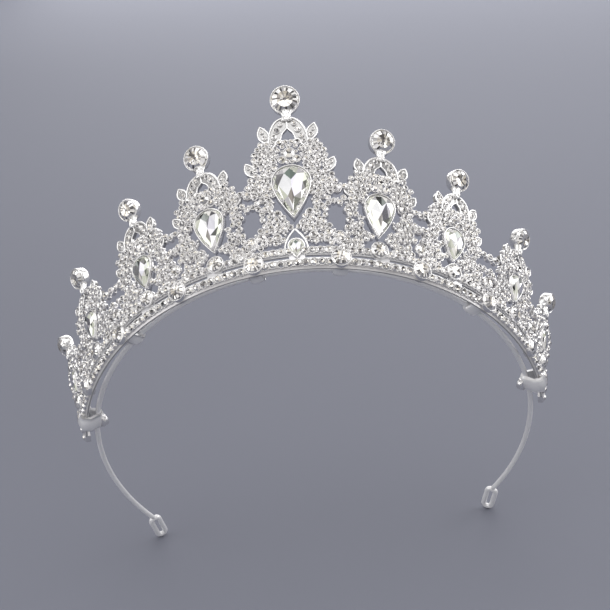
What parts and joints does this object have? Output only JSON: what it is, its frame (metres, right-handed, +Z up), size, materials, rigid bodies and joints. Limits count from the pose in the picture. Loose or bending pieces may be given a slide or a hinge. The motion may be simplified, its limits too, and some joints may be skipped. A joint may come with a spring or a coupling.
{
  "type": "bridal tiara",
  "caption": "Silver-toned bridal tiara: openwork spires with pear and round rhinestones on a pierced rail, held by a sprung wire band with hairpin loops.",
  "frame": {"origin": "middle of the bounding box seen from above, on the plane of the rail's flat underside", "axes": "+Z up the spires from the wearer's head, -Y out of the front centre, +Y towards the back of the head where the band is open, +X to the right seen from the front; X = 0 is the plane of symmetry"},
  "size_m": [0.1554, 0.1392, 0.0589],
  "materials": {
    "plated_metal": "bright rhodium-look plating on cast metal",
    "spring_wire": "drawn, plated spring wire",
    "rhinestone": "faceted, foil-backed clear glass"
  },
  "bodies": {
    "root": {"headband_wire": "spring_wire", "base_rail": "plated_metal", "spire_frame_centre": "plated_metal", "pear_stone_centre": "rhinestone", "tip_stone_centre": "rhinestone", "navette_stone_centre": "rhinestone", "spire_frame_right_1": "plated_metal", "pear_stone_right_1": "rhinestone", "tip_stone_right_1": "rhinestone", "root_stone_right_1": "rhinestone", "spire_frame_right_2": "plated_metal", "pear_stone_right_2": "rhinestone", "tip_stone_right_2": "rhinestone", "root_stone_right_2": "rhinestone", "spire_frame_right_3": "plated_metal", "pear_stone_right_3": "rhinestone", "tip_stone_right_3": "rhinestone", "root_stone_right_3": "rhinestone", "spire_frame_right_4": "plated_metal", "pear_stone_right_4": "rhinestone", "tip_stone_right_4": "rhinestone", "root_stone_right_4": "rhinestone", "spire_frame_left_1": "plated_metal", "pear_stone_left_1": "rhinestone", "tip_stone_left_1": "rhinestone", "root_stone_left_1": "rhinestone", "spire_frame_left_2": "plated_metal", "pear_stone_left_2": "rhinestone", "tip_stone_left_2": "rhinestone", "root_stone_left_2": "rhinestone", "spire_frame_left_3": "plated_metal", "pear_stone_left_3": "rhinestone", "tip_stone_left_3": "rhinestone", "root_stone_left_3": "rhinestone", "spire_frame_left_4": "plated_metal", "pear_stone_left_4": "rhinestone", "tip_stone_left_4": "rhinestone", "root_stone_left_4": "rhinestone", "junction_stone_right_1": "rhinestone", "junction_stone_right_2": "rhinestone", "junction_stone_right_3": "rhinestone", "junction_stone_right_4": "rhinestone", "wire_tab_right_1": "plated_metal", "wire_tab_right_2": "plated_metal", "end_wrap_right": "plated_metal", "junction_stone_left_1": "rhinestone", "junction_stone_left_2": "rhinestone", "junction_stone_left_3": "rhinestone", "junction_stone_left_4": "rhinestone", "wire_tab_left_1": "plated_metal", "wire_tab_left_2": "plated_metal", "end_wrap_left": "plated_metal"}
  },
  "joints": []
}
